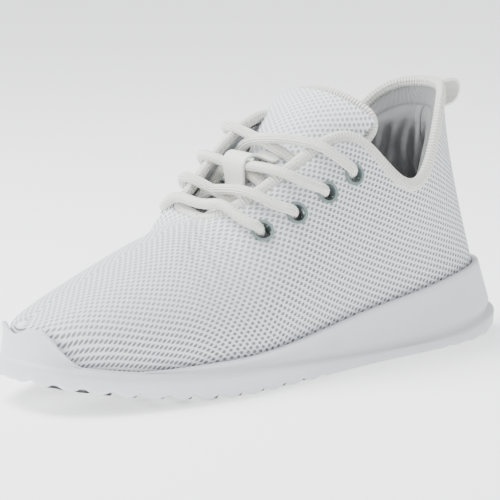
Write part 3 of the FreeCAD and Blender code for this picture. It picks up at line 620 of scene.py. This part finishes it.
def through(side, row):
    """Over the mesh beside an eyelet, then above it and below it."""
    p = EYELET_STATION[side][row]
    v = EYELET_V[row]
    centre, n = upper_face(side, p, v), upper_normal(side, p, v)
    near = p - 0.5 * OVER_SHIFT[side][row]
    low = 0.45 * v + 0.53
    beside = upper_face(side, near, low) + upper_normal(side, near, low) * 3.2
    if (side, row) == (-1, 0):
        beside = beside + np.array([4.0, 0, 0])
    towards = unit(beside - centre)
    return [beside, centre + n * 3.0 + towards * 1.9, centre - n * 7.6]


def lace_route():
    halves = []
    for side, layers in ((1, (1, 2, 1)), (-1, (2, 1, 2))):
        route = [over_edge(side, 0)] + through(side, 0)
        here = side
        for row, layer_number in enumerate(layers):
            place, height = CROSSING[row][0], CROSSING[row][layer_number]
            route += [under_edge(here, row), over_tongue(place, height), over_edge(-here, row + 1)]
            here = -here
            route += through(here, row + 1)
        route += [layer(here, 7.86, 0.70, 7.6), layer(here, 7.62, 0.585, 7.8),
                  layer(here, 7.36, 0.49, 7.8), layer(here, 7.08, 0.405, 7.8)]
        halves.append(route)
    return np.array(halves[0][::-1] + [over_tongue(BAR_PLACE, BAR_HEIGHT)] + halves[1])


route = lace_route() * MM
curve = bpy.data.curves.new("lace", "CURVE")
curve.dimensions = "3D"
spline = curve.splines.new("NURBS")
spline.points.add(len(route) - 1)
for point, place in zip(spline.points, route):
    point.co = (*place, 1.0)
spline.order_u = 3
spline.use_endpoint_u = True
spline.resolution_u = 24
line_object = bpy.data.objects.new("lace_line", curve)
bpy.context.collection.objects.link(line_object)
bpy.context.view_layer.update()
line_mesh = bpy.data.meshes.new_from_object(line_object)
line = np.array([v.co for v in line_mesh.vertices])
bpy.data.objects.remove(line_object)


def oval(width, height, count, ribs=0, relief=0.0):
    turns = 2 * np.pi * np.arange(count) / count
    swell = 1 + relief * np.cos(ribs * turns)
    return np.stack([width * np.cos(turns) * swell, height * np.sin(turns) * swell], axis=-1)


tangents = unit(np.gradient(line, axis=0))
normal = np.cross(tangents[0], [0.3, 0.5, 1.0])
sides, ups = [], []
for tangent in tangents:
    normal = normal - tangent * np.dot(normal, tangent)
    normal = normal / np.linalg.norm(normal)
    sides.append(normal)
    ups.append(np.cross(tangent, normal))
shoelace = sweep("shoelace_cord", line / MM, np.array(sides), np.array(ups),
                 oval(LACE_RADIUS, LACE_RADIUS, 72, 12, 0.05))
paint(shoelace, cord_cloth)
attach(shoelace, "shoe")
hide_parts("shoelace")

# ---- upper ----
LINING_START, COLLAR_PUFF = 8.45, 4.4
FINE = 1.0
P_COUNT, V_COUNT = int(420 / FINE), int(120 / FINE)


def cloth_coordinates(side, points, p, v):
    """Millimetres of cloth: rows run along the shoe and turn down towards the heel."""
    a = points[..., 1] + LENGTH / 2
    lengths = np.linalg.norm(np.diff(points, axis=1), axis=-1)
    climb = np.concatenate([np.zeros((len(points), 1)), np.cumsum(lengths, axis=1)], axis=1)
    ridge_p = THROAT * np.sqrt(np.clip((a - 14) / 85, 0, 1))
    ridge_z = blend(RIDGE_Z, 2 * ridge_p, "even", "free")
    drop = ridge_z - points[..., 2]
    top_arc = -np.sqrt(points[..., 0] ** 2 + 1.45 * drop ** 2) - 0.3 * drop
    side_arc = climb - np.interp(5.0, p[:, 0], climb[:, -1])
    mix = smooth((p - 4.0) / 2.4)
    height = top_arc * (1 - mix) + side_arc * mix
    x, y = outline(side, p)
    step = np.hypot(np.gradient(x, axis=0), np.gradient(y, axis=0))
    run = np.cumsum(step, axis=0)
    run = run - np.interp(9.0, p[:, 0], run[:, 0]) + np.interp(9.0, p[:, 0], a[:, 0])
    mix = smooth((p - 8.0) / 2.0)
    place = 1.05 * (a * (1 - mix) + run * mix)
    k = 0.0018
    turned = (1 - np.exp(-1j * k * (place + 1j * height))) / (1j * k)
    return np.stack([turned.real, side * turned.imag + (side < 0) * 1.25], axis=-1)


halves = []
for side in (1, -1):
    p, v = np.meshgrid(np.linspace(0, STATIONS, P_COUNT), np.linspace(0.01, 1, V_COUNT), indexing="ij")
    points = upper_face(side, p, v)
    uv = cloth_coordinates(side, points, p, v)
    if side < 0:
        points, uv = points[:, ::-1], uv[:, ::-1]
    halves.append(from_grid("upper_half", points, uv))
upper = weld(join("upper_knit", halves))
pierce(upper, 4.1)
thicken(upper, 1.5 * MM)
paint(upper, knit)
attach(upper, "shoe")
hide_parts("upper")

# ---- lining of the vamp ----
halves = []
for side in (1, -1):
    p, v = np.meshgrid(np.linspace(0, LINING_START - 0.1, int(180 / FINE)),
                       np.linspace(0.12, 0.99, int(70 / FINE)), indexing="ij")
    points = layer(side, p, v, 3.3)
    cloth = np.stack([p * 20, v * 80], axis=-1)
    if side < 0:
        points, cloth = points[:, ::-1], cloth[:, ::-1]
    halves.append(from_grid("vamp_half", points, cloth))
vamp = weld(join("vamp_cloth", halves), 0.00005)
pierce(vamp, 4.3)
thicken(vamp, 0.5 * MM, 0.0)
paint(vamp, vamp_lining_cloth)
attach(vamp, "shoe")
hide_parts("vamp_lining")

# ---- collar and throat binding ----
stations = np.linspace(THROAT, STATIONS, int(240 / FINE))
centres, across, outs = [], [], []
for side, places in ((1, stations), (-1, stations[-2:0:-1])):
    middle, n, out = binding_centre(side, places)
    _, tangent, _ = edge_frame(side, places)
    cross = np.cross(tangent, out) * side
    collar = smooth((places - 8.1) / 0.6)[:, None]
    middle = middle - out * 2.1 * collar + n * 0.5 * collar
    centres.append(middle)
    across.append(cross)
    outs.append(out)
centres, across, outs = np.concatenate(centres), np.concatenate(across), np.concatenate(outs)
flat_tube = oval(2.3, 3.1, 24)
binding = sweep("collar_edge", centres, across, outs, flat_tube, closed=True)
paint(binding, binding_cloth)
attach(binding, "shoe")
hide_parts("collar_binding")

# ---- collar lining with padding ----
def collar_lining(side, p, v, proud=0.0):
    """Places on the padded lining, and their millimetres of cloth."""
    x, a = outline(side, p)
    run = np.cumsum(np.hypot(np.gradient(x, axis=0), np.gradient(a, axis=0)), axis=0)
    run = (run - run[-1]) * side
    fold = (np.sin(run * 0.33 + 9 * v + 2.2 * np.sin(v * 7)) * np.sin(v * 19 + 0.05 * run)
            * smooth((v - 0.4) / 0.2) * smooth((0.86 - v) / 0.1))
    hem = 1.1 * np.exp(-((v - 0.9) / 0.018) ** 2)
    top = np.minimum(v, 0.985)
    puff = COLLAR_PUFF * smooth((top - 0.36) / 0.3) * smooth((0.985 - top) / 0.16)
    puff = puff * smooth((p - LINING_START) / 0.5)
    depth = 4.3 + puff * (1 - 0.5 * smooth((v - 0.9) / 0.05)) - 1.2 * fold - 0.5 * hem
    depth = depth - 1.7 * smooth((v - 0.93) / 0.07) + proud
    return layer(side, p, np.minimum(v, 0.999), depth), np.stack([run, v * 90], axis=-1)


def both_sides(places, heights, proud=0.0):
    """Lateral side, then the medial side back to front, as one sheet."""
    p, v = np.meshgrid(places, heights, indexing="ij")
    lateral, medial = collar_lining(1, p, v, proud), collar_lining(-1, p, v, proud)
    return [np.concatenate([one, two[-2::-1]]) for one, two in zip(lateral, medial)]


lining = from_grid("collar_satin", *both_sides(np.linspace(LINING_START, STATIONS, int(150 / FINE)),
                                               np.linspace(0.16, 1.0, int(80 / FINE))))
thicken(lining, 0.6 * MM, 0.0)
paint(lining, satin)
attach(lining, "shoe")
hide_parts("collar_lining", "collar_foam")

# ---- heel seam: narrow tape over the lining's seam ----
SEAM_HALF = 0.4
seam = from_grid("heel_seam", *both_sides(np.linspace(STATIONS - SEAM_HALF, STATIONS, 12),
                                          np.linspace(0.3, 0.9, 90), 0.6))
thicken(seam, 0.5 * MM, 0.0)
paint(seam, seam_cloth)
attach(seam, "shoe")
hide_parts("heel_seam_tape")

# ---- tongue ----
s, w = np.meshgrid(np.linspace(0, 1, int(120 / FINE)), np.linspace(-1, 1, int(90 / FINE)), indexing="ij")
swell = 0.8 * smooth((s - 0.55) / 0.2) * (1 - w ** 4) * smooth((1.0 - s) / 0.08)
face = tongue_face(s, w, 0.2 - swell)
half = blend(TONGUE_HALF, s * 6, "free", "free")
tongue = from_grid("tongue_knit", face, np.stack([s * TONGUE_LENGTH, w * half], axis=-1))
thicken(tongue, 1.6 * MM, 1.0)
paint(tongue, tongue_knit)
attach(tongue, "tongue_flap")
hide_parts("tongue")

# ---- tongue padding and lining, seen from inside ----
back_face = tongue_face(s, w * 0.985, 4.9 + 0.5 * np.sin(s * 24) * (1 - w ** 2))
inner = from_grid("tongue_satin", back_face, np.stack([s * TONGUE_LENGTH, w * half], axis=-1))
thicken(inner, 0.6 * MM, 0.0)
paint(inner, satin)
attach(inner, "tongue_flap")
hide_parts("tongue_lining", "tongue_foam")

# ---- tongue binding ----
EDGE = 2.3
path = [(q, -1) for q in np.linspace(0.2, 0.955, 12)]
path += [(1.0, q) for q in (-0.9, -0.6, -0.3, 0, 0.3, 0.6, 0.9)]
path += [(q, 1) for q in np.linspace(0.955, 0.2, 12)]
knots = []
for q, edge in path:
    place = tongue_face(q, edge, 2.6, -EDGE - 0.8 if abs(edge) == 1 else 0.0)
    if q > 0.94:
        place = place + tongue_axis(1.0)[1] * (EDGE + 0.9)
    knots.append(place)
knots = np.array(knots)
fine = np.linspace(0, len(knots) - 1, int(300 / FINE))
centres = np.stack([blend(knots[:, c], fine, "free", "free") for c in range(3)], axis=-1)
tangents = unit(np.gradient(centres, axis=0))
ups = np.array([tongue_axis(q)[3] for q in np.interp(fine, range(len(path)), [q for q, _ in path])])
across = unit(np.cross(tangents, ups))
ups = np.cross(across, tangents)
tongue_edge = sweep("tongue_edge", centres, across, ups, oval(EDGE, EDGE, 18))
paint(tongue_edge, binding_cloth)
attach(tongue_edge, "tongue_flap")
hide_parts("tongue_binding")

# ---- lace keeper ----
half, high = KEEPER_HALF, KEEPER_HEIGHT
shape = [(-half, 0.9), (-half + 4, 1.0), (-half + 6.5, 5), (-half + 9, high - 1.2), (0, high),
         (half - 9, high - 1.2), (half - 6.5, 5), (half - 4, 1.0), (half, 0.9)]
fine = np.linspace(0, len(shape) - 1, 60)
runs = blend([q for q, _ in shape], fine, "free", "free")
heights = blend([h for _, h in shape], fine, "free", "free")
rows, coordinates = [], []
for run, height in zip(runs, heights):
    place = KEEPER_PLACE + run / TONGUE_LENGTH
    centre, _, right, up = tongue_axis(place)
    radius = blend(TONGUE_R, place * 6, "free", "free")
    x = np.linspace(-7.0, 7.0, 14) + KEEPER_LEAN * (run / half - 1) / 2
    drop = (radius - np.sqrt(radius ** 2 - x * x)) * (1 - height / KEEPER_HEIGHT)
    rows.append(centre + right * x[:, None] + up * (height - drop + 0.5)[:, None])
    coordinates.append(np.stack([np.full(14, run), x], axis=-1))
keeper = from_grid("keeper_tape", np.array(rows), np.array(coordinates))
thicken(keeper, 0.9 * MM, 0.0)
paint(keeper, tape_cloth)
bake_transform(keeper)
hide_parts("lace_keeper")

# ---- heel pull loop ----
top = top_edge(1, 14.0) + np.array([0, 1.6, 2.6])
LOOP = [(-3, -1.2), (1, -1), (5, -0.2), (8.5, -0.6), (10.6, -3.6), (10, -8), (7, -11), (3, -12.2),
        (-0.5, -12.6)]
path = np.array([top + [0, back_step, rise] for back_step, rise in LOOP])
fine = np.linspace(0, len(path) - 1, 70)
centre = np.stack([blend(path[:, c], fine, "free", "free") for c in range(3)], axis=-1)
x = np.linspace(-8.0, 8.0, 16)
points = centre[:, None] + np.stack([x, 0 * x, 0 * x], axis=-1)[None]
cloth = np.stack(np.meshgrid(fine * 5, x, indexing="ij"), axis=-1)
loop = from_grid("pull_loop", points, cloth)
thicken(loop, 1.1 * MM, 0.0)
paint(loop, tape_cloth)
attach(loop, "shoe")
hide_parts("heel_pull_loop")

# ---- midsole ----
SOLE_COUNT = int(560 / FINE)


def sole_ring(side_places, inset, height, shrink=1.0):
    """Ring round the sole; the inset may be an array over the stations."""
    rows = []
    for side, p in side_places:
        x, a = inset_point(side, p, inset(p) if callable(inset) else inset)
        mid_x = 0.25 * (outline(1, p)[0] + outline(-1, p)[0])
        mid_a = np.clip(a, 40, 236)
        x, a = mid_x + (x - mid_x) * shrink, mid_a + (a - mid_a) * shrink
        rows.append(vec(x, a, height(p, a) if callable(height) else height))
    return np.concatenate(rows)


places = np.linspace(0, STATIONS, SOLE_COUNT)
both = ((1, places), (-1, places[-2:0:-1]))


def scallop(p, a):
    """Rise of the lower edge between the tread's lobes."""
    x, y = outline(1, p)
    length = np.concatenate([[0], np.cumsum(np.hypot(np.diff(x), np.diff(y)))])
    wave = 1 - np.abs(np.sin(np.pi * length / 12.4))
    size = 2.3 * smooth(p / 0.6) * smooth((7.6 - p) / 1.2) + 1.1 * smooth((p - 9.4) / 1.0)
    return size * wave


TOE_STEP = [0, 2, 4.4, 5.6, -2, -7.5, -6, -4, -2, -0.6, 0]


def rim(p):
    return blend(RIM_INSET, p)


def base(p, a):
    return bottom_z(a) + PAD_THICK


def lip(p, a):
    return bottom_z(a) + 0.12


def groove(p, a):
    return along(GROOVE_Z, a)


def rim_top(p, a):
    """Rim with the toe bumper, which steps down behind the toe."""
    step = blend(TOE_STEP, 2 * np.minimum(p, 5), "even", "even")
    return np.maximum(along(RIM_Z, a) + step, groove(p, a) + 1.9)


def floor_height(p, a):
    return along(FLOOR_Z, a)


def raised(start, rise, waves=0.0):
    """Height rule: a start rule, a rise and a share of the scallops."""
    return lambda p, a: start(p, a) + rise + waves * scallop(p, a)


def higher(one, two):
    return lambda p, a: np.maximum(one(p, a), two(p, a))


rings = [sole_ring(both, inset, height, shrink) for inset, height, shrink in (
    (12.0, base, 0.0), (12.0, base, 0.5), (12.0, base, 1.0), (5.0, raised(base, 0.1), 1.0),
    (4.2, raised(lip, 0.5, 0.8), 1.0), (3.2, raised(lip, 0, 0.95), 1.0), (1.9, raised(lip, 0.1, 1.0), 1.0),
    (1.0, raised(lip, 0.8, 0.95), 1.0), (0.4, raised(lip, 2.2, 0.7), 1.0))]
rings += [
    sole_ring(both, 0.1, higher(raised(groove, -2.6), raised(lip, 4.2, 0.4))),
    sole_ring(both, 0.05, higher(raised(groove, -1.3), raised(lip, 5.0, 0.1))),
    sole_ring(both, 0.5, raised(groove, -0.2)),
    sole_ring(both, 1.5, raised(groove, 0.35)),
    sole_ring(both, lambda p: 0.75 * 1.9 + 0.25 * rim(p) + 0.1, raised(groove, 1.2)),
]
for share in (0.15, 0.3, 0.45, 0.6, 0.75, 0.88):
    dish = 0.7 * math.sin(math.pi * share)
    rings.append(sole_ring(
        both, lambda p, q=share, d=dish: 1.9 * (1 - q) + rim(p) * q + d * smooth((9 - p) / 3),
        lambda p, a, q=share: (groove(p, a) + 1.2) * (1 - q) + (rim_top(p, a) - 0.2) * q))
rings += [sole_ring(both, lambda p, more=more: rim(p) + more, height, shrink) for more, height, shrink in (
    (0.05, raised(rim_top, -0.6), 1.0), (0.5, raised(rim_top, -0.1), 1.0), (1.3, rim_top, 1.0),
    (2.3, raised(rim_top, -0.3), 1.0), (2.8, raised(rim_top, -1.0), 1.0),
    (2.8, raised(floor_height, 0.5), 1.0), (3.3, floor_height, 1.0), (8.0, floor_height, 1.0),
    (8.0, floor_height, 0.5), (8.0, floor_height, 0.0))]
sole = from_grid("midsole_foam", np.array(rings), None, False, True)
weld(sole, 0.00001)
paint(sole, foam)
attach(sole, "shoe")
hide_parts("midsole")

# ---- sockliner: foam with its cover, crowned and rounded at the edge ----
def sock_ring(more, height, shrink=1.0):
    return sole_ring(both, lambda p: rim(p) + 10.9 + more, raised(floor_height, height), shrink)


underside = [sock_ring(2.0, 2.3, 0.0), sock_ring(2.0, 2.3, 0.5), sock_ring(0.6, 2.3)]
edge_profile = [(0.1, 2.7), (0, 4.2), (0.1, 5.6), (0.5, 6.2), (1.3, 6.5), (2.6, 6.55), (5, 6.5)]
edge_rings = [sock_ring(more, height) for more, height in edge_profile]
crown = [sock_ring(5, 6.4, shrink) for shrink in (0.6, 0.3, 0.0)]
sock_grid = np.array(underside + edge_rings + crown)
sock_uv = np.stack([sock_grid[..., 0], sock_grid[..., 1]], axis=-1)
sock = weld(from_grid("sockliner_pad", sock_grid, sock_uv, False, True), 0.00001)
paint(sock, sock_cloth)
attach(sock, "sockliner")
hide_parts("sockliner_cover", "sockliner_foam")

# ---- CAD pieces kept, with their materials ----
CAD_KEPT = {
    "outsole_pads_forefoot": rubber, "outsole_pads_heel": rubber, "strobel_board": board,
    "toe_puff": stiff, "heel_counter": stiff, "eyestay_lateral": stiff, "eyestay_medial": stiff,
    "eyelets_lateral": eyelet_paint, "eyelets_medial": eyelet_paint,
    "eyelet_washers_lateral": washer_paint, "eyelet_washers_medial": washer_paint,
    "aglet_lateral": clear_tip, "aglet_medial": clear_tip,
}
for node, material in CAD_KEPT.items():
    paint(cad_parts[node], material)

# ---- floor and light ----
bpy.ops.mesh.primitive_plane_add(size=6, location=(0, 0, 0))
floor = bpy.context.object
floor.name = "floor"
floor_paint = plain_material("floor", (0.95, 0.95, 0.955), 0.8, 30, 0.0001, 0.01)
floor_glow = floor_paint.node_tree.nodes["Principled BSDF"].inputs
floor_glow["Emission Color"].default_value = (1, 1, 1, 1)
floor_glow["Emission Strength"].default_value = 0.9
paint(floor, floor_paint)

world = bpy.data.worlds.new("world")
world.use_nodes = True
world.node_tree.nodes["Background"].inputs[0].default_value = (0.96, 0.98, 1.0, 1)
world.node_tree.nodes["Background"].inputs[1].default_value = 1.15
bpy.context.scene.world = world


def light(name, place, size, power):
    data = bpy.data.lights.new(name, "AREA")
    data.size, data.energy = size, power
    lamp = bpy.data.objects.new(name, data)
    lamp.location = place
    lamp.rotation_euler = (Vector(place) - TARGET).to_track_quat("Z", "Y").to_euler()
    bpy.context.collection.objects.link(lamp)


light("top_light", (-0.35, -0.35, 1.1), 0.7, 30)
light("left_light", (-0.5, -1.0, 0.5), 0.7, 8)
